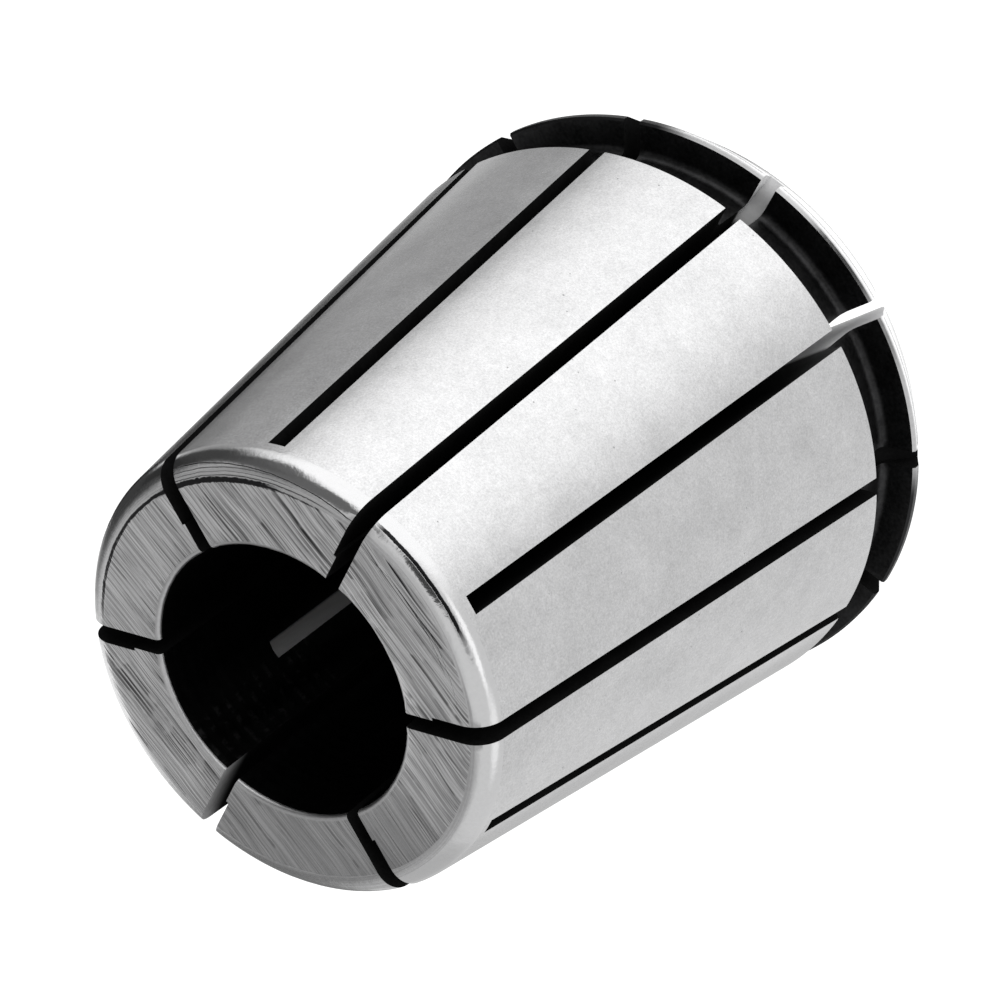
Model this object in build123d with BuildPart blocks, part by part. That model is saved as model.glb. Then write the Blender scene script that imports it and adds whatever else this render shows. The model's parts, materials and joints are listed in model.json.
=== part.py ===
from build123d import *
import os
from math import radians, sqrt, tan

# A slotted spring collet that closes on a round shank from both ends.
# It stands on its large front face at z = 0, with +Z along its axis to the small end.
# All lengths are in millimetres and all angles in degrees.

# Turned body, with the taper measured at the edge of the groove
overall_length = 46.0
gauge_diameter = 40.0
gauge_edge_break = 0.25
taper_half_angle = 8.0
tail_rounding = 1.8

# Flange with its short cone, and the groove behind it
flange_overhang = 0.5
flange_thickness = 3.56
flange_rim_width = 0.6
flange_back_break = 0.15
nose_half_angle = 30.0
nose_edge_break = 0.25
groove_width = 4.1
groove_depth = 1.9
groove_root_break = 0.4

# Straight bore for the tool shank
shank_diameter = 18.0
bore_nose_break = 0.6
bore_tail_break = 0.4

# Slots, one set sawn from each end, and each set midway between the other
slots_per_end = 6
slot_width = 1.2
saw_radius = 25.0
nose_saw_overrun = 3.0
tail_web = 9.3
tail_saw_cover = 2.0

# Narrower cut that opens the tail slots from the floor of the saw cut into the bore
opening_width = 1.0
opening_wheel_radius = 25.0
opening_overrun = 3.0
nose_web = 15.1

# How far a cutter runs past the end of the blank
cutter_run_out = 1.0

# Radii and heights that follow from the sizes above
gauge_radius = gauge_diameter / 2
flange_radius = gauge_radius + flange_overhang
groove_radius = gauge_radius - groove_depth
bore_radius = shank_diameter / 2
gauge_height = flange_thickness + groove_width
rim_height = flange_thickness - flange_rim_width
nose_radius = flange_radius - rim_height * tan(radians(nose_half_angle))
tail_radius = gauge_radius - (overall_length - gauge_height) * tan(radians(taper_half_angle))

# The tail slots stand on the pitch, and the nose slots halfway between them
slot_pitch = 360 / slots_per_end
tail_slot_angles = [slot_pitch * i for i in range(slots_per_end)]
nose_slot_angles = [angle + slot_pitch / 2 for angle in tail_slot_angles]

# The turned section is drawn in the metal halfway between two slots, so that its seam isn't sawn
section_angle = slot_pitch / 4

# Nose slots: the saw passes through the wall and leaves a web at the small end of the bore
nose_saw_radius_from_axis = bore_radius - nose_saw_overrun + saw_radius
nose_saw_reach = sqrt(saw_radius**2 - (nose_saw_radius_from_axis - bore_radius) ** 2)
nose_saw_height = overall_length - tail_web - nose_saw_reach

# Tail slots: the saw stops short of the bore, and its floor meets the foot of the flange
tail_saw_radius_from_axis = bore_radius + tail_saw_cover + saw_radius
tail_saw_reach = sqrt(saw_radius**2 - (tail_saw_radius_from_axis - groove_radius) ** 2)
tail_saw_height = flange_thickness + tail_saw_reach

# Opening cuts: a thinner wheel goes through the wall and leaves a web at the large end
opening_radius_from_axis = bore_radius - opening_overrun + opening_wheel_radius
opening_reach = sqrt(opening_wheel_radius**2 - (opening_radius_from_axis - bore_radius) ** 2)
opening_height = nose_web + opening_reach
opening_side_offset = (slot_width - opening_width) / 2


def radial_planes(angles, side_offset=0.0):
    """Planes that hold the axis, x outward at each angle, moved to the clockwise side."""
    return [Plane.XZ.rotated((0, 0, angle)).offset(side_offset) for angle in angles]


def corner_near(sketch, radius, height):
    """The corner of a half section that is nearest to a radius and a height."""
    return sketch.vertices().sort_by_distance((radius, height))[0]


with BuildPart() as collet:
    # The blank as turned: half its section, spun about the axis
    with BuildSketch(Plane.XZ.rotated((0, 0, section_angle))) as half_section:
        with BuildLine():
            Polyline(
                (bore_radius, 0),
                (nose_radius, 0),
                (flange_radius, rim_height),
                (flange_radius, flange_thickness),
                (groove_radius, flange_thickness),
                (groove_radius, gauge_height),
                (gauge_radius, gauge_height),
                (tail_radius, overall_length),
                (bore_radius, overall_length),
                close=True,
            )
        make_face()
        fillet(corner_near(half_section, tail_radius, overall_length), radius=tail_rounding)
        for height in (flange_thickness, gauge_height):
            chamfer(corner_near(half_section, groove_radius, height), length=groove_root_break)
        chamfer(corner_near(half_section, bore_radius, overall_length), length=bore_tail_break)
        chamfer(corner_near(half_section, bore_radius, 0), length=bore_nose_break)
        chamfer(corner_near(half_section, nose_radius, 0), length=nose_edge_break)
        chamfer(corner_near(half_section, flange_radius, flange_thickness), length=flange_back_break)
        chamfer(corner_near(half_section, gauge_radius, gauge_height), length=gauge_edge_break)
    revolve(axis=Axis.Z)

    # Nose slots, open at the large end
    with BuildSketch(*radial_planes(nose_slot_angles)):
        with Locations((nose_saw_radius_from_axis, nose_saw_height)):
            Circle(saw_radius)
            Rectangle(
                2 * saw_radius,
                nose_saw_height + cutter_run_out,
                align=(Align.CENTER, Align.MAX),
            )
    extrude(amount=slot_width / 2, both=True, mode=Mode.SUBTRACT)

    # Tail slots, open at the small end and stopping short of the bore
    with BuildSketch(*radial_planes(tail_slot_angles)):
        with Locations((tail_saw_radius_from_axis, tail_saw_height)):
            Circle(saw_radius)
            Rectangle(
                2 * saw_radius,
                overall_length - tail_saw_height + cutter_run_out,
                align=(Align.CENTER, Align.MIN),
            )
    extrude(amount=slot_width / 2, both=True, mode=Mode.SUBTRACT)

    # Opening cuts, flush with one wall of each tail slot
    with BuildSketch(*radial_planes(tail_slot_angles, opening_side_offset)):
        with Locations((opening_radius_from_axis, opening_height)):
            Circle(opening_wheel_radius)
            Rectangle(
                2 * opening_wheel_radius,
                overall_length - opening_height + cutter_run_out,
                align=(Align.CENTER, Align.MIN),
            )
    extrude(amount=opening_width / 2, both=True, mode=Mode.SUBTRACT)

collet.part.label = "collet_body"

os.makedirs("parts", exist_ok=True)
export_step(collet.part, "parts/collet_body.step")
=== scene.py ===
"""Dresses a slotted spring collet: ground taper, rubbed end, turned groove and sawn slots."""

import json
import logging
import math
from dataclasses import dataclass, field
from enum import Enum

import bmesh
import bpy
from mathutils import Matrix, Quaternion, Vector

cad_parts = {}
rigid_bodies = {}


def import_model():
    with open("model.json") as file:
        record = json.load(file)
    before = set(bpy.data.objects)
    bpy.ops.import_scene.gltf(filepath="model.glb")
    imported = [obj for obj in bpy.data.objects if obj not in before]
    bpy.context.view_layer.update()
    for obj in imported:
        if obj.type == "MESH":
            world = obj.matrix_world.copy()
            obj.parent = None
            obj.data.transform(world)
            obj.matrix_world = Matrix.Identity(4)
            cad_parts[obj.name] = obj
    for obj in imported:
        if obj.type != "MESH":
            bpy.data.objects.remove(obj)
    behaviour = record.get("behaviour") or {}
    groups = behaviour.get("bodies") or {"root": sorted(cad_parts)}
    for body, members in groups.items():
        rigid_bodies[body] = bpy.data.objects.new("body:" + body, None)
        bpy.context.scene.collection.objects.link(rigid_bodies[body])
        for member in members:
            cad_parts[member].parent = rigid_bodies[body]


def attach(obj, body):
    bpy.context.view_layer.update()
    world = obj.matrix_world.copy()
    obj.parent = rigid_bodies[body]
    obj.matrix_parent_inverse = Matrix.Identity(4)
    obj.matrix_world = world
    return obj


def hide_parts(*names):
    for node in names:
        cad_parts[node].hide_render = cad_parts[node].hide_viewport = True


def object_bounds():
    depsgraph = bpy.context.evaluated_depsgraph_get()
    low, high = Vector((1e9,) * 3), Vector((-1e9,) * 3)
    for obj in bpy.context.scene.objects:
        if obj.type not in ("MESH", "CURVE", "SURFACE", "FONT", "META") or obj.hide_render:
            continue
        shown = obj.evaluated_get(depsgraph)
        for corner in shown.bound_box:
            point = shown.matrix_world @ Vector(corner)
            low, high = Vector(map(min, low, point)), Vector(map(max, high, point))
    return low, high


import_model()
cad_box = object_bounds()

MM = 0.001
NODE = "collet_body"

log = logging.getLogger("collet")


class Zone(Enum):
    """The parts of the surface, each with its own machining."""

    TAPER = 0
    SMALL_END = 1
    FLANGE = 2
    GROOVE = 3
    BORE = 4
    SAWN = 5
    EDGE = 6


class CornerForm(Enum):
    """How a corner of the turned outline is finished."""

    SHARP = "sharp"
    FLAT = "flat"
    ROUND = "round"


# Shader maths


class Signal:
    """A number on a node's output socket, with the operators that node maths needs."""

    def __init__(self, sheet: "NodeSheet", socket: bpy.types.NodeSocket) -> None:
        """Keep the sheet and the socket that carries the number."""
        self.sheet = sheet
        self.socket = socket

    def _math(self, operation: str, *operands: object) -> "Signal":
        """Add one Math node.

        Args:
            operation: The Math node's operation.
            operands: Numbers or signals, in order.

        Returns:
            The node's result.
        """
        return self.sheet.add("ShaderNodeMath", {"operation": operation}, operands)

    def __add__(self, other: object) -> "Signal":
        """Sum."""
        return self._math("ADD", self, other)

    __radd__ = __add__

    def __sub__(self, other: object) -> "Signal":
        """Difference."""
        return self._math("SUBTRACT", self, other)

    def __rsub__(self, other: object) -> "Signal":
        """Difference, from the other operand."""
        return self._math("SUBTRACT", other, self)

    def __mul__(self, other: object) -> "Signal":
        """Product."""
        return self._math("MULTIPLY", self, other)

    __rmul__ = __mul__

    def __truediv__(self, other: object) -> "Signal":
        """Quotient."""
        return self._math("DIVIDE", self, other)

    def __rtruediv__(self, other: object) -> "Signal":
        """Quotient of the other operand."""
        return self._math("DIVIDE", other, self)

    def root(self) -> "Signal":
        """Square root."""
        return self._math("SQRT", self)

    def whole(self) -> "Signal":
        """Next whole number below."""
        return self._math("FLOOR", self)

    def size(self) -> "Signal":
        """Number without its sign."""
        return self._math("ABSOLUTE", self)

    def sine(self) -> "Signal":
        """Sine of an angle in radians."""
        return self._math("SINE", self)

    def cosine(self) -> "Signal":
        """Cosine of an angle in radians."""
        return self._math("COSINE", self)

    def arc_sine(self) -> "Signal":
        """Angle whose sine this is, in radians."""
        return self._math("ARCSINE", self)

    def half_turn(self) -> "Signal":
        """Angle in radians, brought to within half a turn of 0."""
        return self._math("WRAP", self, math.pi, -math.pi)

    def toward(self, goal: object, share: object) -> "Signal":
        """Mix with a goal, by a share of the goal."""
        inputs = {0: share, 2: self, 3: goal}
        return self.sheet.add("ShaderNodeMix", {"data_type": "FLOAT"}, inputs)

    def at_most(self, other: object) -> "Signal":
        """Smaller of the two."""
        return self._math("MINIMUM", self, other)

    def at_least(self, other: object) -> "Signal":
        """Larger of the two."""
        return self._math("MAXIMUM", self, other)

    def turn_from(self, other: "Signal") -> "Signal":
        """Angle of the point (other, self) about the origin, in radians."""
        return self._math("ARCTAN2", self, other)

    def ramp(self, low: float, high: float) -> "Signal":
        """Smooth step.

        Args:
            low: Value at which the step starts.
            high: Value at which it is complete.

        Returns:
            0 below low, 1 above high and a smooth rise between them.
        """
        settings = {"interpolation_type": "SMOOTHSTEP"}
        inputs = {"Value": self, "From Min": low, "From Max": high}
        return self.sheet.add("ShaderNodeMapRange", settings, inputs, "Result")


class NodeSheet:
    """The nodes of one material or world."""

    def __init__(self, tree: bpy.types.NodeTree) -> None:
        """Empty the tree and keep it."""
        self.tree = tree
        tree.nodes.clear()

    def add(self, kind: str, settings: dict, inputs: object, output: object = 0) -> Signal:
        """Add any node.

        Args:
            kind: The node's type.
            settings: Its properties, set before its sockets.
            inputs: A dict by socket name, or a sequence in socket order, of values and signals.
            output: Name or place of the output to return.

        Returns:
            The chosen output.
        """
        node = self.tree.nodes.new(kind)
        for name, value in settings.items():
            setattr(node, name, value)
        pairs = inputs.items() if isinstance(inputs, dict) else enumerate(inputs)
        for key, value in pairs:
            if isinstance(value, Signal):
                self.tree.links.new(value.socket, node.inputs[key])
            else:
                node.inputs[key].default_value = value
        return Signal(self, node.outputs[output]) if node.outputs else None

    def vector(self, x: object, y: object, z: object) -> Signal:
        """Combine three numbers or signals to a vector."""
        return self.add("ShaderNodeCombineXYZ", {}, (x, y, z))

    def noise(self, point: Signal, scale: float, detail: float = 3.0,
              roughness: float = 0.5) -> Signal:
        """Cloudy noise around one half.

        Args:
            point: Where it is read.
            scale: Its features per unit of the point.
            detail: How many finer layers it has.
            roughness: How strong the finer layers are.

        Returns:
            A value between 0 and 1.
        """
        inputs = {"Vector": point, "Scale": scale, "Detail": detail, "Roughness": roughness}
        return self.add("ShaderNodeTexNoise", {}, inputs, "Fac")

    def blend(self, share: object, low: object, high: object) -> Signal:
        """Mix two colours by a share of the second."""
        inputs = {0: share, 6: low, 7: high}
        return self.add("ShaderNodeMix", {"data_type": "RGBA", "clamp_factor": True}, inputs, 2)

    def split(self, vector: Signal) -> tuple:
        """Separate a vector.

        Args:
            vector: The vector to take apart.

        Returns:
            Its three numbers.
        """
        first = self.add("ShaderNodeSeparateXYZ", {}, (vector,))
        outputs = first.socket.node.outputs
        return tuple(Signal(self, outputs[name]) for name in ("X", "Y", "Z"))


# Shape


@dataclass(frozen=True)
class Stretch:
    """One straight or round stretch of the turned outline, in the plane of radius and height."""

    start: tuple
    end: tuple
    zone: Zone
    steps: int = 1
    centre: tuple | None = None

    def points(self) -> list:
        """Points along the stretch.

        Returns:
            Radius and height of each point, from the start up to but without the end.
        """
        shares = [i / self.steps for i in range(self.steps)]
        if self.centre is None:
            return [tuple(a + (b - a) * s for a, b in zip(self.start, self.end)) for s in shares]
        x, y = self.centre
        ends = (self.start, self.end)
        first, last = [math.atan2(height - y, radius - x) for radius, height in ends]
        sweep = (last - first + math.pi) % (2 * math.pi) - math.pi
        reach = math.dist(self.start, self.centre)
        angles = [first + sweep * share for share in shares]
        return [(x + reach * math.cos(angle), y + reach * math.sin(angle)) for angle in angles]


@dataclass(frozen=True)
class Corner:
    """One corner of the turned outline, and the surface that follows it."""

    radius: float
    height: float
    following: Zone
    form: CornerForm = CornerForm.SHARP
    size: float = 0.0
    own: Zone = Zone.FLANGE

    def place(self) -> Vector:
        """The corner's place in the plane of radius and height."""
        return Vector((self.radius, self.height))

    def finish(self, before: "Corner", after: "Corner") -> tuple:
        """Work out how the corner is cut back.

        Args:
            before: The corner before this one.
            after: The corner after it.

        Returns:
            Start and end of the cut, and the centre of its arc, or None where it is flat.
        """
        here = self.place()
        back = (before.place() - here).normalized()
        ahead = (after.place() - here).normalized()
        half = back.angle(ahead) / 2
        leg = self.size / math.tan(half) if self.form is CornerForm.ROUND else self.size
        centre = None
        if self.form is CornerForm.ROUND:
            centre = tuple(here + (back + ahead).normalized() * (self.size / math.sin(half)))
        return tuple(here + back * leg), tuple(here + ahead * leg), centre


@dataclass
class TurnedBlank:
    """The collet before it is slotted. Sizes are in millimetres and degrees."""

    length: float = 46.0
    gauge_radius: float = 20.0
    gauge_edge_break: float = 0.25
    taper_half_angle: float = 8.0
    tail_rounding: float = 1.8
    flange_overhang: float = 0.5
    flange_thickness: float = 3.56
    flange_rim_width: float = 0.6
    flange_back_break: float = 0.15
    nose_half_angle: float = 30.0
    nose_edge_break: float = 0.25
    groove_width: float = 4.1
    groove_depth: float = 1.9
    groove_root: float = 0.6
    bore_radius: float = 9.0
    bore_nose_break: float = 0.6
    bore_tail_rounding: float = 0.32
    ring_spacing: float = 1.2
    arc_steps_per_mm: float = 9.0
    slot_margin: float = 0.45
    columns_between_slots: int = 20

    def corners(self) -> list:
        """The corners of half a section.

        Returns:
            Corners in order, from the bore's front edge out, up the outside and down the bore.
        """
        flange_radius = self.gauge_radius + self.flange_overhang
        rim_height = self.flange_thickness - self.flange_rim_width
        nose_radius = flange_radius - rim_height * math.tan(math.radians(self.nose_half_angle))
        groove_radius = self.gauge_radius - self.groove_depth
        gauge_height = self.flange_thickness + self.groove_width
        taper_slope = math.tan(math.radians(self.taper_half_angle))
        tail_radius = self.gauge_radius - (self.length - gauge_height) * taper_slope
        flat, rounded = CornerForm.FLAT, CornerForm.ROUND
        flange, groove, taper, end = Zone.FLANGE, Zone.GROOVE, Zone.TAPER, Zone.SMALL_END
        back = self.flange_thickness
        return [
            Corner(self.bore_radius, 0.0, flange, flat, self.bore_nose_break),
            Corner(nose_radius, 0.0, flange, flat, self.nose_edge_break),
            Corner(flange_radius, rim_height, flange),
            Corner(flange_radius, back, groove, flat, self.flange_back_break),
            Corner(groove_radius, back, groove, rounded, self.groove_root, groove),
            Corner(groove_radius, gauge_height, groove, rounded, self.groove_root, groove),
            Corner(self.gauge_radius, gauge_height, taper, flat, self.gauge_edge_break, taper),
            Corner(tail_radius, self.length, end, rounded, self.tail_rounding, end),
            Corner(self.bore_radius, self.length, Zone.BORE, rounded, self.bore_tail_rounding, end),
        ]

    def outline(self) -> list:
        """The closed outline of half a section.

        Returns:
            Stretches in order, one for each cut corner and one for each surface between them.
        """
        corners = self.corners()
        count = len(corners)
        cuts = [corner.finish(corners[i - 1], corners[(i + 1) % count])
                for i, corner in enumerate(corners)]
        stretches = []
        for i, corner in enumerate(corners):
            start, end, centre = cuts[i]
            if corner.form is not CornerForm.SHARP:
                steps = max(2, round(corner.size * self.arc_steps_per_mm)) if centre else 1
                stretches.append(Stretch(start, end, corner.own, steps, centre))
            goal = cuts[(i + 1) % count][0]
            steps = max(1, round(math.dist(end, goal) / self.ring_spacing))
            stretches.append(Stretch(end, goal, corner.following, steps))
        return stretches

    def turns(self, radius: float, slots: int, half_width: float) -> list:
        """Angles of the lathe's columns at one radius.

        The columns beside each slot run parallel to it, so that no thin slivers are left there.

        Args:
            radius: Distance from the axis.
            slots: Number of slots from both ends together.
            half_width: Half the width of a slot.

        Returns:
            The angles in radians, once round.
        """
        pitch = 2 * math.pi / slots
        edge = math.asin((half_width + self.slot_margin) / radius)
        inner = [edge + (pitch - 2 * edge) * i / self.columns_between_slots
                 for i in range(self.columns_between_slots + 1)]
        return [slot * pitch + angle for slot in range(slots) for angle in [0.0, *inner]]

    def build(self, slots: int, half_width: float) -> bpy.types.Object:
        """Turn the outline round the axis.

        Args:
            slots: Number of slots from both ends together.
            half_width: Half the width of a slot.

        Returns:
            A closed mesh whose faces carry their zone as material index.
        """
        rings = []
        zones = []
        for stretch in self.outline():
            for point in stretch.points():
                rings.append(point)
                zones.append(stretch.zone)
        columns = len(self.turns(self.gauge_radius, slots, half_width))
        vertices = []
        for radius, height in rings:
            for angle in self.turns(radius, slots, half_width):
                x, y = radius * math.cos(angle), radius * math.sin(angle)
                vertices.append((x * MM, y * MM, height * MM))
        faces = []
        marks = []
        for ring in range(len(rings)):
            above = (ring + 1) % len(rings)
            for column in range(columns):
                beside = (column + 1) % columns
                faces.append((ring * columns + column, ring * columns + beside,
                              above * columns + beside, above * columns + column))
                marks.append(zones[ring].value)
        mesh = bpy.data.meshes.new("blank")
        mesh.from_pydata(vertices, [], faces)
        mesh.polygons.foreach_set("material_index", marks)
        mesh.update()
        blank = bpy.data.objects.new("blank", mesh)
        bpy.context.scene.collection.objects.link(blank)
        return blank


@dataclass(frozen=True)
class SawCut:
    """One kind of saw cut, repeated evenly round the axis. Millimetres and degrees."""

    name: str
    wheel_radius: float
    width: float
    centre_radius: float
    centre_height: float
    run: float
    first_angle: float = 0.0
    side_offset: float = 0.0


@dataclass
class SlotPattern:
    """The slots sawn from both ends, and the narrower cuts that open the tail slots."""

    blank: TurnedBlank
    slots_per_end: int = 6
    slot_width: float = 1.2
    saw_radius: float = 25.0
    nose_saw_overrun: float = 3.0
    tail_web: float = 9.3
    tail_saw_cover: float = 2.0
    opening_width: float = 1.0
    opening_overrun: float = 3.0
    nose_web: float = 15.1
    wheel_sides: int = 256

    def cuts(self) -> list:
        """Work out where each kind of wheel stands.

        Returns:
            The cuts, in the order in which they are made.
        """
        blank = self.blank
        wheel = self.saw_radius
        groove_radius = blank.gauge_radius - blank.groove_depth
        run = blank.length + 2 * wheel
        nose_centre = blank.bore_radius - self.nose_saw_overrun + wheel
        nose_reach = math.sqrt(wheel**2 - (nose_centre - blank.bore_radius) ** 2)
        tail_centre = blank.bore_radius + self.tail_saw_cover + wheel
        tail_reach = math.sqrt(wheel**2 - (tail_centre - groove_radius) ** 2)
        opening_centre = blank.bore_radius - self.opening_overrun + wheel
        opening_reach = math.sqrt(wheel**2 - (opening_centre - blank.bore_radius) ** 2)
        opening_side = (self.opening_width - self.slot_width) / 2
        half_pitch = 180 / self.slots_per_end
        return [
            SawCut("nose_slots", wheel, self.slot_width, nose_centre,
                   blank.length - self.tail_web - nose_reach, -run, half_pitch),
            SawCut("tail_slots", wheel, self.slot_width, tail_centre,
                   blank.flange_thickness + tail_reach, run),
            SawCut("tail_openings", wheel, self.opening_width, opening_centre,
                   self.nose_web + opening_reach, run, 0.0, opening_side),
        ]

    def tree(self) -> bpy.types.NodeTree:
        """Build the node tree that saws one kind of slot all round a blank.

        Returns:
            A geometry tree with the cut's sizes, the number of copies and the finish as inputs.
        """
        tree = bpy.data.node_groups.new("saw_slots", "GeometryNodeTree")
        sheet = NodeSheet(tree)
        face = tree.interface
        face.new_socket("Geometry", in_out="INPUT", socket_type="NodeSocketGeometry")
        sizes = ("Wheel Radius", "Width", "Centre Radius", "Centre Height", "Run",
                 "First Angle", "Side Offset")
        for name in sizes:
            face.new_socket(name, in_out="INPUT", socket_type="NodeSocketFloat")
        for name in ("Copies", "Wheel Sides"):
            face.new_socket(name, in_out="INPUT", socket_type="NodeSocketInt")
        face.new_socket("Finish", in_out="INPUT", socket_type="NodeSocketMaterial")
        face.new_socket("Geometry", in_out="OUTPUT", socket_type="NodeSocketGeometry")
        node = tree.nodes.new("NodeGroupInput")
        given = {socket.name: Signal(sheet, socket) for socket in node.outputs}
        wheel = sheet.add("GeometryNodeMeshCylinder", {"fill_type": "NGON"},
                          {"Vertices": given["Wheel Sides"], "Radius": given["Wheel Radius"],
                           "Depth": given["Width"]}, "Mesh")
        upright = sheet.add("GeometryNodeTransform", {},
                            {"Geometry": wheel, "Rotation": (math.pi / 2, 0.0, 0.0)})
        height = sheet.split(sheet.add("GeometryNodeInputPosition", {}, ()))[2]
        positive = {"data_type": "FLOAT", "operation": "GREATER_THAN"}
        ahead = sheet.add("FunctionNodeCompare", positive,
                          {"A": height * given["Run"], "B": 0.0}, "Result")
        long_cut = sheet.add("GeometryNodeSetPosition", {},
                             {"Geometry": upright, "Selection": ahead,
                              "Offset": sheet.vector(0.0, 0.0, given["Run"])})
        place = sheet.vector(given["Centre Radius"], given["Side Offset"], given["Centre Height"])
        cutter = sheet.add("GeometryNodeTransform", {},
                           {"Geometry": long_cut, "Translation": place})
        points = sheet.add("GeometryNodePoints", {}, {"Count": given["Copies"]})
        index = sheet.add("GeometryNodeInputIndex", {}, ())
        pitch = 2 * math.pi / given["Copies"]
        turn = sheet.vector(0.0, 0.0, given["First Angle"] + index * pitch)
        copies = sheet.add("GeometryNodeInstanceOnPoints", {},
                           {"Points": points, "Instance": cutter, "Rotation": turn})
        real = sheet.add("GeometryNodeRealizeInstances", {}, {"Geometry": copies})
        finished = sheet.add("GeometryNodeSetMaterial", {},
                             {"Geometry": real, "Material": given["Finish"]})
        sawn = sheet.add("GeometryNodeMeshBoolean", {"operation": "DIFFERENCE", "solver": "EXACT"},
                         {"Mesh 1": given["Geometry"], "Mesh 2": finished}, "Mesh")
        sheet.add("NodeGroupOutput", {}, {"Geometry": sawn})
        return tree

    def saw(self, piece: bpy.types.Object, finish: bpy.types.Material) -> None:
        """Add one modifier for each kind of cut.

        Args:
            piece: The turned blank.
            finish: Material of the sawn walls.
        """
        tree = self.tree()
        slots = {item.name: item.identifier for item in tree.interface.items_tree
                 if item.item_type == "SOCKET" and item.in_out == "INPUT"}
        for cut in self.cuts():
            modifier = piece.modifiers.new(cut.name, "NODES")
            modifier.node_group = tree
            values = {
                "Wheel Radius": cut.wheel_radius * MM,
                "Width": cut.width * MM,
                "Centre Radius": cut.centre_radius * MM,
                "Centre Height": cut.centre_height * MM,
                "Run": cut.run * MM,
                "First Angle": math.radians(cut.first_angle),
                "Side Offset": cut.side_offset * MM,
                "Copies": self.slots_per_end,
                "Wheel Sides": self.wheel_sides,
                "Finish": finish,
            }
            for name, value in values.items():
                modifier[slots[name]] = value


@dataclass
class ColletBody:
    """The whole collet, one piece of steel."""

    blank: TurnedBlank = field(default_factory=TurnedBlank)
    edge_break: float = 0.11
    edge_steps: int = 2
    sharp_angle: float = 35.0

    def settle(self, piece: bpy.types.Object, name: str) -> bpy.types.Object:
        """Turn a piece with modifiers into a plain mesh of its own.

        Args:
            piece: The object to replace. It is removed.
            name: The new object's name.

        Returns:
            The new object.
        """
        bpy.context.view_layer.update()
        graph = bpy.context.evaluated_depsgraph_get()
        mesh = bpy.data.meshes.new_from_object(piece.evaluated_get(graph), depsgraph=graph)
        bpy.data.objects.remove(piece)
        mesh.name = name
        plain = bpy.data.objects.new(name, mesh)
        bpy.context.scene.collection.objects.link(plain)
        return plain

    def build(self, finishes: dict) -> bpy.types.Object:
        """Turn, saw and deburr the collet.

        Args:
            finishes: A material for each zone.

        Returns:
            The finished mesh object, which stands for the CAD node.
        """
        pattern = SlotPattern(self.blank)
        piece = self.blank.build(2 * pattern.slots_per_end, pattern.slot_width / 2)
        for zone in Zone:
            if zone not in (Zone.SAWN, Zone.EDGE):
                piece.data.materials.append(finishes[zone])
        pattern.saw(piece, finishes[Zone.SAWN])
        piece = self.settle(piece, "sawn_body")
        piece.data.materials.append(finishes[Zone.EDGE])
        log.info("sawn body: %d faces", len(piece.data.polygons))
        bevel = piece.modifiers.new("edge_break", "BEVEL")
        bevel.width = self.edge_break * MM
        bevel.segments = self.edge_steps
        bevel.limit_method = "ANGLE"
        bevel.angle_limit = math.radians(self.sharp_angle)
        bevel.use_clamp_overlap = True
        bevel.material = len(piece.data.materials) - 1
        piece = self.settle(piece, "broken_edges")
        piece.data.shade_smooth()
        piece.data.set_sharp_from_angle(angle=math.radians(self.sharp_angle))
        weighted = piece.modifiers.new("even_shading", "WEIGHTED_NORMAL")
        weighted.keep_sharp = True
        piece = self.settle(piece, "slotted_collet")
        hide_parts(NODE)
        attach(piece, "root")
        log.info("%s: %d faces", piece.name, len(piece.data.polygons))
        return piece


# Finish


class Spot:
    """The point being shaded, in millimetres about the collet's axis."""

    def __init__(self, sheet: NodeSheet) -> None:
        """Add the nodes that read the point.

        Args:
            sheet: The material's nodes.
        """
        self.sheet = sheet
        raw = sheet.add("ShaderNodeTexCoord", {}, (), "Object")
        self.point = sheet.add("ShaderNodeVectorMath", {"operation": "SCALE"},
                               {"Vector": raw, "Scale": 1 / MM})
        self.x, self.y, self.z = sheet.split(self.point)
        self.radius = (self.x * self.x + self.y * self.y).root()
        self.turn = self.y.turn_from(self.x)

    def noise(self, scale: float, detail: float = 3.0, roughness: float = 0.5) -> Signal:
        """Even noise through the metal, with its features per millimetre."""
        return self.sheet.noise(self.point, scale, detail, roughness)

    def specks(self, spacing: float, size: float, share: float, least: float = 0.4,
               solid: float = 0.6) -> Signal:
        """Scattered round specks.

        Args:
            spacing: Distance between the places where a speck may lie, in millimetres.
            size: Largest radius of a speck in millimetres.
            share: Share of the places that have one.
            least: Radius of the smallest speck, as a share of the largest.
            solid: Share of a speck's radius beyond which it fades.

        Returns:
            1 inside a speck and 0 outside.
        """
        inputs = {"Vector": self.point, "Scale": 1 / spacing}
        far = self.sheet.add("ShaderNodeTexVoronoi", {}, inputs, "Distance")
        draw = self.sheet.split(Signal(self.sheet, far.socket.node.outputs["Color"]))[0]
        reach = size / spacing * (least + draw / share * (1 - least))
        inside = 1 - (far / reach).ramp(solid, 1.0)
        return inside * (1 - draw.ramp(share, share + 0.01))

    def near_turn(self, degrees: float, half_width: float, fade: float) -> Signal:
        """How near the spot is to one direction about the axis.

        Args:
            degrees: The direction.
            half_width: Angle to each side within which the result is 1.
            fade: Further angle over which it falls to 0.

        Returns:
            A value between 0 and 1.
        """
        angle = math.radians(degrees)
        ahead = self.x * math.cos(angle) + self.y * math.sin(angle)
        cosine_where_full = math.cos(math.radians(half_width))
        cosine_where_none = math.cos(math.radians(half_width + fade))
        return (ahead / self.radius).ramp(cosine_where_none, cosine_where_full)


@dataclass(frozen=True)
class Marks:
    """What a tool leaves on the steel: tone, roughness, relief in millimetres and bare metal."""

    tone: object
    roughness: object
    relief: object = None
    metal: object = 1.0


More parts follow.
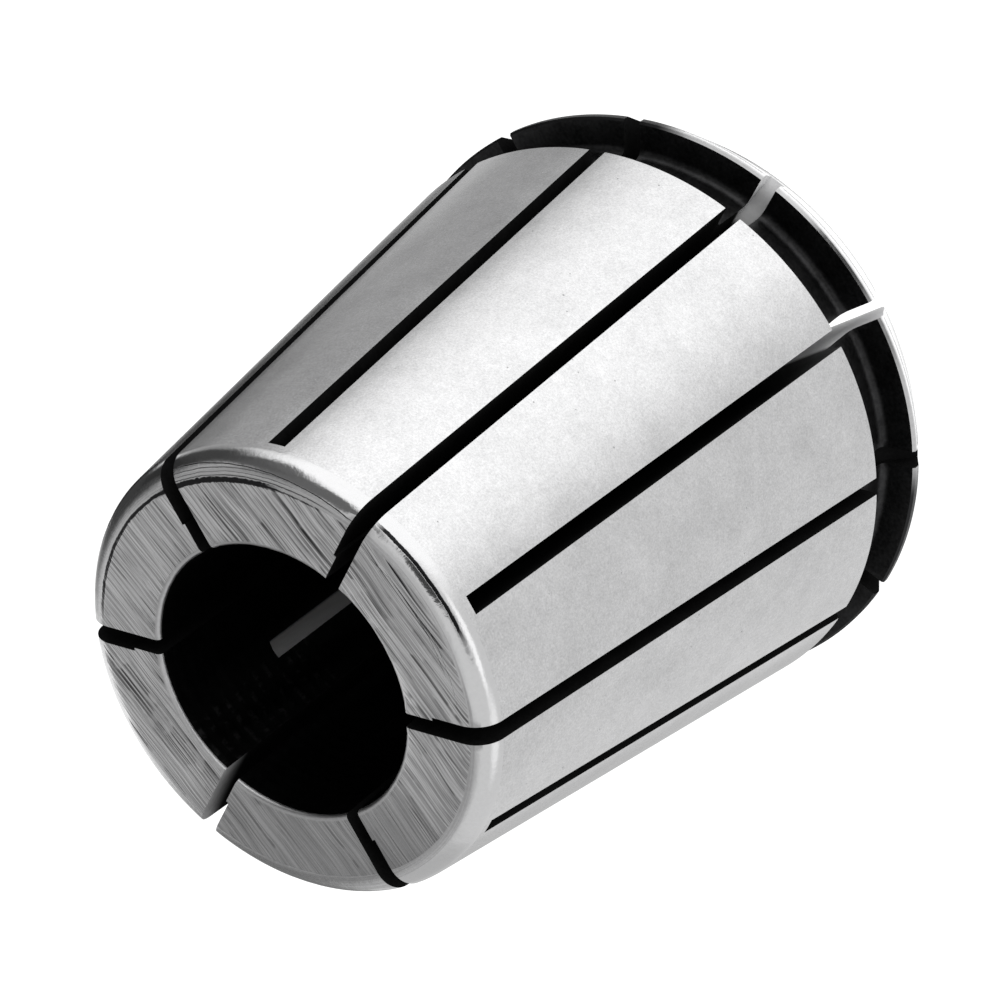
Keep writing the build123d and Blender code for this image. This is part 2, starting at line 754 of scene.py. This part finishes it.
@dataclass(frozen=True)
class Finish:
    """A finish of the steel, between a dark and a light colour."""

    name: str
    dark: tuple = (0.02, 0.02, 0.021)
    light: tuple = (0.74, 0.74, 0.745)
    roughness: float = 0.28
    gloss: float = 0.5
    tone: float = 0.78
    grain_scale: float = 3.0
    grain_tone: float = 0.3
    grain_roughness: float = 0.1

    def marks(self, spot: Spot) -> Marks:
        """Work out the marks at a spot: here only a fine grain.

        Args:
            spot: The point being shaded.

        Returns:
            Its tone and roughness.
        """
        grain = spot.noise(self.grain_scale, 4.0) - 0.5
        tone = self.tone + grain * self.grain_tone
        return Marks(tone, self.roughness + grain * self.grain_roughness)

    def material(self) -> bpy.types.Material:
        """Make the material.

        Returns:
            A surface that carries the finish's marks.
        """
        made = bpy.data.materials.new(self.name)
        made.use_nodes = True
        sheet = NodeSheet(made.node_tree)
        marks = self.marks(Spot(sheet))
        colour = sheet.blend(marks.tone, (*self.dark, 1.0), (*self.light, 1.0))
        inputs = {"Base Color": colour, "Metallic": marks.metal, "Roughness": marks.roughness,
                  "Specular IOR Level": self.gloss}
        if marks.relief is not None:
            bump = {"Strength": 1.0, "Distance": MM, "Height": marks.relief}
            inputs["Normal"] = sheet.add("ShaderNodeBump", {}, bump, "Normal")
        surface = sheet.add("ShaderNodeBsdfPrincipled", {}, inputs)
        sheet.add("ShaderNodeOutputMaterial", {}, {"Surface": surface})
        return made


@dataclass(frozen=True)
class PaintedRimShade:
    """A stretch of the flange's rim painted near black, as painted shade. Angles in degrees."""

    turn: float
    reach: float
    fade: float


@dataclass(frozen=True)
class RimWithPaintedShade(Finish):
    """A ground finish, with painted shade: near-black stretches along the back of the flange's rim.
    """

    shaded_from: float = 2.3
    shaded_to: float = 3.9
    shaded_radius: float = 19.0
    shaded_fade: float = 0.3
    shaded_end_fade: float = 0.2
    shaded_tone: float = 0.98
    shaded_roughness: float = 0.3
    painted_shades: tuple = (PaintedRimShade(2.0, 37.0, 7.0), PaintedRimShade(-165.0, 37.0, 9.0))

    def marks(self, spot: Spot) -> Marks:
        """Work out the ground rim and its painted shade.

        Args:
            spot: The point being shaded.

        Returns:
            Its tone and roughness.
        """
        ground = super().marks(spot)
        # Painted shade: near-black stretches painted along the back of the rim.
        cover = 0.0
        for painted_stretch in self.painted_shades:
            cover = spot.near_turn(painted_stretch.turn, painted_stretch.reach, painted_stretch.fade) + cover
        height = spot.z.ramp(self.shaded_from, self.shaded_from + self.shaded_fade)
        height = height * (1 - spot.z.ramp(self.shaded_to, self.shaded_to + self.shaded_end_fade))
        rim = spot.radius.ramp(self.shaded_radius, self.shaded_radius + self.shaded_fade)
        cover = cover * height * rim
        tone = ground.tone * (1 - cover * self.shaded_tone)
        return Marks(tone, ground.roughness + cover * self.shaded_roughness)


@dataclass(frozen=True)
class GroundTaper(Finish):
    """The ground cone: fine grain, faint clouds and tiny pits."""

    tone: float = 0.83
    grain_scale: float = 7.5
    grain_tone: float = 0.42
    grain_depth: float = 0.0024
    mottle_scale: float = 1.875
    mottle_tone: float = 0.2
    mottle_depth: float = 0.0034
    cloud_scale: float = 0.3
    cloud_tone: float = 0.28
    cloud_roughness: float = 0.08
    pit_spacing: float = 0.8
    pit_size: float = 0.09
    pit_share: float = 0.25
    pit_tone: float = 0.3
    pit_roughness: float = 0.25
    pit_depth: float = 0.01

    def marks(self, spot: Spot) -> Marks:
        """Work out the ground surface.

        Args:
            spot: The point being shaded.

        Returns:
            Its tone, roughness and relief.
        """
        grain = spot.noise(self.grain_scale, 2.0, 0.6) - 0.5
        mottle = spot.noise(self.mottle_scale, 3.0, 0.6) - 0.5
        cloud = spot.noise(self.cloud_scale, 4.0, 0.6) - 0.5
        pits = spot.specks(self.pit_spacing, self.pit_size, self.pit_share)
        tone = self.tone + grain * self.grain_tone + mottle * self.mottle_tone
        tone = tone + cloud * self.cloud_tone - pits * self.pit_tone
        roughness = self.roughness + cloud * self.cloud_roughness + pits * self.pit_roughness
        relief = grain * self.grain_depth + mottle * self.mottle_depth - pits * self.pit_depth
        return Marks(tone, roughness, relief)


@dataclass(frozen=True)
class Arc:
    """A dark arc round the small end. Places in millimetres, directions in degrees."""

    way: float
    half_width: float
    turn: float
    reach: float
    fade: float
    depth: float
    drift: float = 0.0
    most_drift: float = 0.35
    softness: float = 0.018

    def shift(self, spot: Spot) -> Signal:
        """How far the arc has drifted from its place at its middle."""
        lean = (spot.turn - math.radians(self.turn)) * math.degrees(self.drift)
        return lean.at_most(self.most_drift).at_least(-self.most_drift)

    def mask(self, spot: Spot, way: Signal) -> Signal:
        """How strongly the arc marks a spot.

        Args:
            spot: The point being shaded.
            way: The spot's place across the rounded corner.

        Returns:
            The arc's depth on it, and 0 beside it.
        """
        place = way - self.way if self.drift == 0 else way - self.way - self.shift(spot)
        soft = self.softness
        inside = 1 - place.size().ramp(self.half_width - soft, self.half_width + soft)
        return inside * spot.near_turn(self.turn, self.reach, self.fade) * self.depth


@dataclass(frozen=True)
class Strokes:
    """One set of straight strokes on the rubbed face.

    Its features are given per millimetre along and across, and its layer keeps it apart from
    the other sets.
    """

    along: float
    across: float
    layer: float
    detail: float
    tone: float
    depth: float = 0.0

    def read(self, along: Signal, across: Signal, layer: Signal) -> Signal:
        """Read the strokes.

        Args:
            along: The spot's place along the strokes, in millimetres.
            across: Its place across them.
            layer: The layer of the spot's sector.

        Returns:
            A value between 0 and 1.
        """
        sheet = along.sheet
        place = sheet.vector(along * self.along, across * self.across, layer + self.layer)
        return sheet.noise(place, 1.0, self.detail)


@dataclass(frozen=True)
class SmallEnd(Finish):
    """The small end: a polished corner, turned rings, and a face rubbed in one direction."""

    direction: float = -170.0
    wander: float = 6.0
    bend: float = 0.25
    bend_scale: float = 0.3
    sectors: int = 6
    sector_layer: float = 3.7
    face_tone: float = 0.73
    broad: Strokes = Strokes(0.1, 1.3, 0.0, 2.0, 0.2)
    lines: Strokes = Strokes(0.14, 8.0, 9.0, 1.0, 0.36, 0.0012)
    fine: Strokes = Strokes(0.3, 18.0, 17.0, 1.0, 0.34, 0.0008)
    scores: Strokes = Strokes(0.09, 8.5, 31.0, 0.0, 0.45, 0.002)
    stroke_ramp: tuple = (0.36, 0.64)
    score_ramp: tuple = (0.62, 0.67)
    score_patch_scale: float = 0.5
    score_patch_ramp: tuple = (0.4, 0.5)
    dull_turn: float = 160.0
    dull_reach: float = 32.0
    dull_fade: float = 22.0
    dull_tone: float = 0.3
    dull_strokes: float = 0.6
    smooth_radius: float = 9.37
    smooth_fade: float = 0.15
    smooth_fray: float = 0.12
    smooth_tone: float = 0.66
    smooth_fray_tone: float = 0.3
    smooth_roughness: float = 0.12
    border: float = 32.62
    border_swing: float = 0.3
    border_turn: float = 20.0
    border_softness: float = 0.04
    fray_scale: float = 4.5
    fray_reach: float = 0.09
    fray_depth: float = 0.002
    sway_scale: float = 0.9
    sway_reach: float = 0.12
    corner_tone: float = 0.86
    corner_fray: float = 0.1
    swell_scale: float = 1.6
    swell_depth: float = 0.018
    rings_across: float = 6.0
    rings_around: float = 1.2
    rings_softness: float = 0.03
    rings_tone: float = 0.74
    rings_contrast: float = 0.7
    rings_fray: float = 0.15
    rings_roughness: float = 0.14
    rings_depth: float = 0.004
    arc_fray: float = 0.06
    arc_roughness: float = 0.15
    arc_depth: float = 0.008
    band_fray: float = 0.3
    band_tone: float = 0.85
    band_contrast: float = 1.6
    # Painted shade: a dark line painted along the border of the turned rings.
    line: Arc = Arc(31.67, 0.04, -31.0, 24.0, 5.0, 0.85, -0.0143)
    band: Arc = Arc(32.72, 0.19, -15.0, 14.0, 9.0, 1.0)
    arcs: tuple = (
        Arc(32.76, 0.06, -31.0, 14.0, 5.0, 0.6),
        Arc(32.42, 0.04, -24.0, 22.0, 8.0, 0.55),
        Arc(32.14, 0.03, -20.0, 14.0, 8.0, 0.5),
        Arc(31.82, 0.03, -18.0, 12.0, 8.0, 0.5),
        Arc(32.7, 0.12, 24.0, 18.0, 18.0, 0.8),
        # Painted reflection: this arc paints a dark reflection on the corner.
        Arc(30.87, 0.15, -79.0, 13.0, 5.0, 0.95),
        Arc(33.28, 0.03, -84.0, 12.0, 10.0, 0.4),
        Arc(33.02, 0.022, -92.0, 14.0, 8.0, 0.35),
        Arc(32.7, 0.03, 92.0, 22.0, 8.0, 0.22),
    )

    def rubbing(self, spot: Spot) -> tuple:
        """Work out the straight scratches on the face.

        Args:
            spot: The point being shaded.

        Returns:
            Their tone and their relief.
        """
        sheet = spot.sheet
        sector = (spot.turn * (self.sectors / (2 * math.pi))).whole()
        draw = sheet.add("ShaderNodeTexWhiteNoise", {"noise_dimensions": "1D"},
                         {"W": sector + 0.5}, "Value")
        lean = math.radians(self.direction) + (draw - 0.5) * math.radians(self.wander)
        aim, side = lean.cosine(), lean.sine()
        along = spot.x * aim + spot.y * side
        bend = (spot.noise(self.bend_scale, 1.0) - 0.5) * self.bend
        across = spot.y * aim - spot.x * side + bend
        layer = sector * self.sector_layer
        broad = self.broad.read(along, across, layer) - 0.5
        lines = self.lines.read(along, across, layer).ramp(*self.stroke_ramp)
        fine = self.fine.read(along, across, layer).ramp(*self.stroke_ramp)
        patch = spot.noise(self.score_patch_scale, 2.0).ramp(*self.score_patch_ramp)
        scores = self.scores.read(along, across, layer).ramp(*self.score_ramp) * patch
        strokes = (lines - 0.5) * self.lines.tone + (fine - 0.5) * self.fine.tone
        strokes = strokes - scores * self.scores.tone
        dull = spot.near_turn(self.dull_turn, self.dull_reach, self.dull_fade)
        tone = (self.face_tone + broad * self.broad.tone) * (1 - dull * self.dull_tone)
        tone = tone + strokes * (1 - dull * self.dull_strokes)
        relief = lines * self.lines.depth + fine * self.fine.depth
        return tone, relief - scores * self.scores.depth

    def cuts(self, spot: Spot, way: Signal, torn: Signal, fray: Signal) -> Signal:
        """Work out the dark line, arcs and band round the corner.

        Args:
            spot: The point being shaded.
            way: The spot's place across the rounded corner.
            torn: The same place, shifted so that what follows it has ragged edges.
            fray: The noise that roughens edges.

        Returns:
            How strongly they darken the spot.
        """
        cut = self.line.mask(spot, torn)
        for arc in self.arcs:
            cut = cut + arc.mask(spot, torn + fray * self.arc_fray)
        band = self.band.mask(spot, way + fray * self.band_fray)
        return cut + band * (self.band_tone + fray * self.band_contrast)

    def marks(self, spot: Spot) -> Marks:
        """Work out the end's marks, from the taper in to the bore.

        Args:
            spot: The point being shaded.

        Returns:
            Its tone, roughness and relief.
        """
        sheet = spot.sheet
        fray = spot.noise(self.fray_scale, 3.0, 0.7) - 0.5
        sway = spot.noise(self.sway_scale, 1.0) - 0.5
        way = spot.z - spot.radius
        torn = way + fray * self.fray_reach + sway * self.sway_reach
        swing = (spot.turn * 2 + math.radians(self.border_turn)).cosine()
        border = self.border + swing * self.border_swing
        ringed = torn - self.line.way - self.line.shift(spot)
        ringed = ringed.ramp(-self.rings_softness, self.rings_softness)
        rubbed = (torn - border).ramp(-self.border_softness, self.border_softness)
        turned = ringed * (1 - rubbed)
        frayed_radius = spot.radius + fray * self.smooth_fray
        smooth = 1 - frayed_radius.ramp(self.smooth_radius - self.smooth_fade, self.smooth_radius)
        place = sheet.vector(way * self.rings_across, spot.turn * self.rings_around, 0.0)
        rings = sheet.noise(place, 1.0, 3.0, 0.6) - 0.5
        rings_tone = self.rings_tone + rings * self.rings_contrast + fray * self.rings_fray
        scratched, scratch_relief = self.rubbing(spot)
        tone = self.corner_tone + fray * self.corner_fray
        tone = tone + turned * (rings_tone - self.corner_tone)
        tone = tone + rubbed * (scratched - self.corner_tone)
        tone = tone + smooth * (self.smooth_tone + fray * self.smooth_fray_tone - tone)
        cut = self.cuts(spot, way, torn, fray)
        rough = self.roughness + ringed * self.rings_roughness + cut * self.arc_roughness
        rough = rough + smooth * self.smooth_roughness
        swell = (spot.noise(self.swell_scale, 3.0, 0.6) - 0.5) * self.swell_depth
        relief = scratch_relief * rubbed * (1 - smooth) + rings * turned * self.rings_depth
        relief = relief - cut * self.arc_depth + (1 - rubbed) * (swell + fray * self.fray_depth)
        return Marks(tone - cut, rough, relief)


@dataclass(frozen=True)
class HardenedScale(Finish):
    """Dark scale from hardening, left where nothing was ground afterwards."""

    tone: float = 0.45
    grain_scale: float = 4.0
    grain_tone: float = 0.6
    grain_roughness: float = 0.2
    grain_depth: float = 0.006
    cloud_scale: float = 0.5
    cloud_tone: float = 0.9

    def marks(self, spot: Spot) -> Marks:
        """Work out the mottled scale.

        Args:
            spot: The point being shaded.

        Returns:
            Its tone, roughness and relief.
        """
        cloud = spot.noise(self.cloud_scale, 4.0, 0.6) - 0.5
        grain = spot.noise(self.grain_scale, 4.0, 0.6) - 0.5
        tone = self.tone + cloud * self.cloud_tone + grain * self.grain_tone
        roughness = self.roughness + grain * self.grain_roughness
        return Marks(tone, roughness, grain * self.grain_depth)


@dataclass(frozen=True)
class SawnSlot(HardenedScale):
    """The walls of the slots: painted shade makes them near black, and painted light brightens them
    where the slots leave the bore and the flange.
    """

    black_tone: float = 0.015
    lit_wall_tone: float = 0.75
    lit_wall_mottle: float = 0.3
    slot_reach: float = 8.0
    slot_fade: float = 4.0
    short_turn: float = -60.0
    short_to: float = 4.8
    short_fade: float = 0.5
    short_tone: float = 0.6
    short_rim_from: float = 18.6
    short_rim_to: float = 19.8
    short_rim_tone: float = 0.5
    long_turn: float = -90.0
    long_from: float = 6.0
    long_to: float = 7.2
    long_tone: float = 0.85
    long_trail_from: float = 6.8
    long_trail_to: float = 13.8
    long_trail_tone: float = 0.08
    inner_turn: float = 90.0
    inner_reach: float = 10.0
    inner_from: float = 14.0
    inner_to: float = 15.2
    lit_strip_from: float = 18.0
    lit_strip_to: float = 37.0
    painted_light_tone: float = 0.4
    lit_strip_gain: float = 0.65
    mouth_turn: float = 120.0
    mouth_from: float = 43.3
    mouth_to: float = 45.3
    mouth_tone: float = 0.55

    def marks(self, spot: Spot) -> Marks:
        """Work out the painted shade on the walls and the painted light on them.

        Args:
            spot: The point being shaded.

        Returns:
            Its tone, roughness, relief and bare metal.
        """
        scale = super().marks(spot)
        # Painted light: the inner strip in the bore, brighter toward the small end.
        inner = spot.near_turn(self.inner_turn, self.inner_reach, self.slot_fade)
        inner = inner * (1 - spot.radius.ramp(self.inner_from, self.inner_to))
        painted_light = self.painted_light_tone + spot.z.ramp(self.lit_strip_from, self.lit_strip_to) * self.lit_strip_gain
        rim = spot.radius.ramp(self.short_rim_from, self.short_rim_to) * self.short_rim_tone
        short = spot.near_turn(self.short_turn, self.slot_reach, self.slot_fade)
        short = short * (1 - spot.z.ramp(self.short_to - self.short_fade, self.short_to))
        trail = 1 - spot.z.ramp(self.long_trail_from, self.long_trail_to)
        long = (1 - spot.z.ramp(self.long_from, self.long_to)) * self.long_tone
        long = long + trail * self.long_trail_tone
        long = long * spot.near_turn(self.long_turn, self.slot_reach, self.slot_fade)
        mouth = spot.near_turn(self.mouth_turn, self.slot_reach, self.slot_fade)
        mouth = mouth * spot.z.ramp(self.mouth_from, self.mouth_to) * self.mouth_tone
        # Painted light on the walls near the bore, at two of the flange's slots and at the mouth;
        # painted shade, near black, everywhere else.
        bare = inner * painted_light + short * (self.short_tone + rim) + long + mouth
        shine = self.lit_wall_tone + scale.tone * self.lit_wall_mottle
        tone = scale.tone * self.black_tone + bare * shine
        return Marks(tone, scale.roughness, scale.relief, inner)


@dataclass(frozen=True)
class TurnedBore(HardenedScale):
    """The dark bore, with painted highlights: glints on the rings left by turning near the small
    end.
    """

    black_tone: float = 0.3
    pitch: float = 1.05
    turned_from: float = 32.5
    turned_to: float = 35.5
    ring_depth: float = 0.008
    glint_turn: float = 106.0
    glint_reach: float = 5.0
    glint_fade: float = 13.0
    painted_light_tone: float = 0.8
    glint_ramp: tuple = (-0.2, 0.9)
    spots_around: float = 13.0
    spots_per_ring: float = 0.9
    spots_ramp: tuple = (0.46, 0.66)

    def marks(self, spot: Spot) -> Marks:
        """Work out the rings and the painted glints on them.

        Args:
            spot: The point being shaded.

        Returns:
            Its tone, roughness and relief.
        """
        sheet = spot.sheet
        scale = super().marks(spot)
        wave = (spot.z * (2 * math.pi / self.pitch)).sine()
        turned = spot.z.ramp(self.turned_from, self.turned_to)
        upward = spot.z * (self.spots_per_ring / self.pitch)
        place = sheet.vector(spot.turn * self.spots_around, 0.0, upward)
        spots = sheet.noise(place, 1.0, 3.0, 0.6).ramp(*self.spots_ramp)
        # Painted highlight: glints on the ring crests, on one side of the bore only.
        near = spot.near_turn(self.glint_turn, self.glint_reach, self.glint_fade)
        painted_light = wave.ramp(*self.glint_ramp) * spots * turned * near * self.painted_light_tone
        relief = wave * turned * self.ring_depth
        return Marks(scale.tone * self.black_tone + painted_light, scale.roughness, relief)


# Studio

ALL_ROUND = 2000
WHITE = (1.0, 1.0, 1.0, 1.0)


@dataclass(frozen=True)
class Glow:
    """A soft patch of light or shade in the studio's surround. Angles in degrees."""

    azimuth: float
    elevation: float
    width: float
    height: float
    core: float
    level: float

    def mask(self, turn: Signal, rise: Signal) -> Signal:
        """How much of the patch covers a direction.

        Args:
            turn: The direction's azimuth in radians.
            rise: Its elevation in radians.

        Returns:
            1 in the patch's core, falling to 0 at its rim.
        """
        sideways = (turn - math.radians(self.azimuth)).half_turn() / math.radians(self.width)
        upward = (rise - math.radians(self.elevation)) / math.radians(self.height)
        return 1 - (sideways * sideways + upward * upward).root().ramp(self.core, 1.0)


@dataclass
class Studio:
    """A white table, a soft surround and the camera."""

    base_level: float = 0.85
    glows: tuple = (
        Glow(-43, -12, 60, 62, 0.5, 1.5),
        Glow(-112, 7, 32, 12, 0.4, 1.45),
        Glow(-107, 31, 17, 15, 0.4, 0.36),
        Glow(-152, -2, 26, 20, 0.3, 1.2),
        Glow(141, 0, 24, 44, 0.5, 0.62),
        Glow(0, 90, ALL_ROUND, 30, 0.5, 0.65),
        Glow(95, 55, 105, 34, 0.6, 0.5),
        Glow(-10, 47, 50, 22, 0.6, 0.17),
        Glow(8, 22, 30, 22, 0.5, 0.12),
        Glow(78, -10, 16, 34, 0.4, 0.4),
        Glow(31, -40, 32, 24, 0.6, 0.44),
        Glow(36, 1, 38, 32, 0.45, 0.07),
        Glow(-3, 20, 12, 26, 0.3, 0.16),
        Glow(58, 5, 26, 30, 0.6, 0.04),
        Glow(67, -14, 13, 30, 0.6, 0.06),
        Glow(74, -36, 15, 14, 0.7, 0.03),
        Glow(95, -5, 10, 45, 0.5, 1.35),
        Glow(115, -2, 13, 55, 0.55, 0.22),
        Glow(-81, 44, 19, 19, 0.75, 0.06),
        Glow(55, -36, 14, 8, 0.4, 0.22),
        Glow(128, -40, 17, 16, 0.5, 0.6),
        Glow(86, -55, 20, 7, 0.7, 0.1),
        Glow(0, -90, ALL_ROUND, 30, 0.75, 1.7),
    )
    table_radius: float = 3.0
    table_glow: float = 1.2
    covered_radius: float = 0.0185
    covered_lift: float = -0.00005
    disc_sides: int = 64
    camera_azimuth: float = 11.913
    camera_elevation: float = 47.023
    camera_roll: float = -127.359
    camera_distance: float = 0.22339
    camera_aim: tuple = (0.68, 0.14, 21.05)
    camera_lens: float = 124.49
    camera_sensor: float = 36.0
    camera_clip: float = 0.01

    def light(self) -> None:
        """Light the scene with a surround whose brightness depends on direction."""
        world = bpy.data.worlds.new("soft_surround")
        world.use_nodes = True
        bpy.context.scene.world = world
        sheet = NodeSheet(world.node_tree)
        x, y, z = sheet.split(sheet.add("ShaderNodeTexCoord", {}, (), "Generated"))
        turn, rise = y.turn_from(x), z.arc_sine()
        level = sheet.add("ShaderNodeValue", {}, ())
        level.socket.default_value = self.base_level
        for glow in self.glows:
            level = level.toward(glow.level, glow.mask(turn, rise))
        shine = sheet.add("ShaderNodeBackground", {}, {"Color": WHITE, "Strength": level})
        sheet.add("ShaderNodeOutputWorld", {}, {"Surface": shine})

    def lay_table(self) -> bpy.types.Object:
        """Lay a white table, with a black disc under the collet as painted shade, which keeps the
        table's light from the bore.

        Returns:
            The table, which the metal doesn't mirror.
        """
        table = self.disc("table", self.table_radius, 0.0, self.table_glow)
        table.visible_glossy = False
        table.visible_shadow = False
        # Painted shade: a black disc under the collet.
        self.disc("painted_shade_under_collet", self.covered_radius, self.covered_lift, 0.0)
        return table

    def disc(self, name: str, radius: float, height: float, glow: float) -> bpy.types.Object:
        """Make a flat disc that belongs to the stage.

        Args:
            name: The object's name.
            radius: Its radius in metres.
            height: Its height in metres.
            glow: Strength of its own light.

        Returns:
            The disc.
        """
        mesh = bpy.data.meshes.new(name)
        shape = bmesh.new()
        bmesh.ops.create_circle(shape, cap_ends=True, segments=self.disc_sides, radius=radius)
        bmesh.ops.translate(shape, verts=shape.verts, vec=(0.0, 0.0, height))
        shape.to_mesh(mesh)
        shape.free()
        disc = bpy.data.objects.new(name, mesh)
        bpy.context.scene.collection.objects.link(disc)
        made = bpy.data.materials.new(name)
        made.use_nodes = True
        sheet = NodeSheet(made.node_tree)
        surface = sheet.add("ShaderNodeEmission", {}, {"Color": WHITE, "Strength": glow})
        sheet.add("ShaderNodeOutputMaterial", {}, {"Surface": surface})
        mesh.materials.append(made)
        return disc

    def place_camera(self) -> bpy.types.Object:
        """Set up the camera at the photograph's angle.

        Returns:
            The camera, which is made the scene's own.
        """
        data = bpy.data.cameras.new("camera")
        data.lens = self.camera_lens
        data.sensor_width = self.camera_sensor
        data.clip_start = self.camera_clip
        camera = bpy.data.objects.new("camera", data)
        bpy.context.scene.collection.objects.link(camera)
        turn = math.radians(self.camera_azimuth)
        rise = math.radians(self.camera_elevation)
        outward = math.cos(rise)
        back = Vector((math.sin(turn) * outward, -math.cos(turn) * outward, math.sin(rise)))
        camera.location = Vector(self.camera_aim) * MM + back * self.camera_distance
        level = (-back).to_track_quat("-Z", "Y")
        roll = Quaternion((0.0, 0.0, 1.0), math.radians(self.camera_roll))
        camera.rotation_mode = "QUATERNION"
        camera.rotation_quaternion = level @ roll
        bpy.context.scene.camera = camera
        return camera


def main() -> None:
    """Build the collet and the studio, and log the face counts."""
    logging.basicConfig(level=logging.INFO)
    scale = (0.075, 0.075, 0.077)
    black = (0.004, 0.004, 0.004)
    steels = {
        Zone.TAPER: GroundTaper("ground_taper", roughness=0.24),
        Zone.SMALL_END: SmallEnd("small_end", roughness=0.13),
        Zone.FLANGE: RimWithPaintedShade("ground_flange", roughness=0.17),
        Zone.GROOVE: HardenedScale("dark_groove", black, scale, 0.42),
        Zone.BORE: TurnedBore("dark_bore", black, scale, 0.4),
        Zone.SAWN: SawnSlot("sawn_slots", black, roughness=0.45, gloss=0.0),
        Zone.EDGE: RimWithPaintedShade("broken_edge", roughness=0.18),
    }
    finishes = {zone: steel.material() for zone, steel in steels.items()}
    ColletBody(TurnedBlank(length=(cad_box[1][2] - cad_box[0][2]) / MM)).build(finishes)
    studio = Studio()
    studio.light()
    studio.lay_table()
    studio.place_camera()
    bpy.context.scene.view_settings.view_transform = "Standard"


if __name__ == "__main__":
    main()
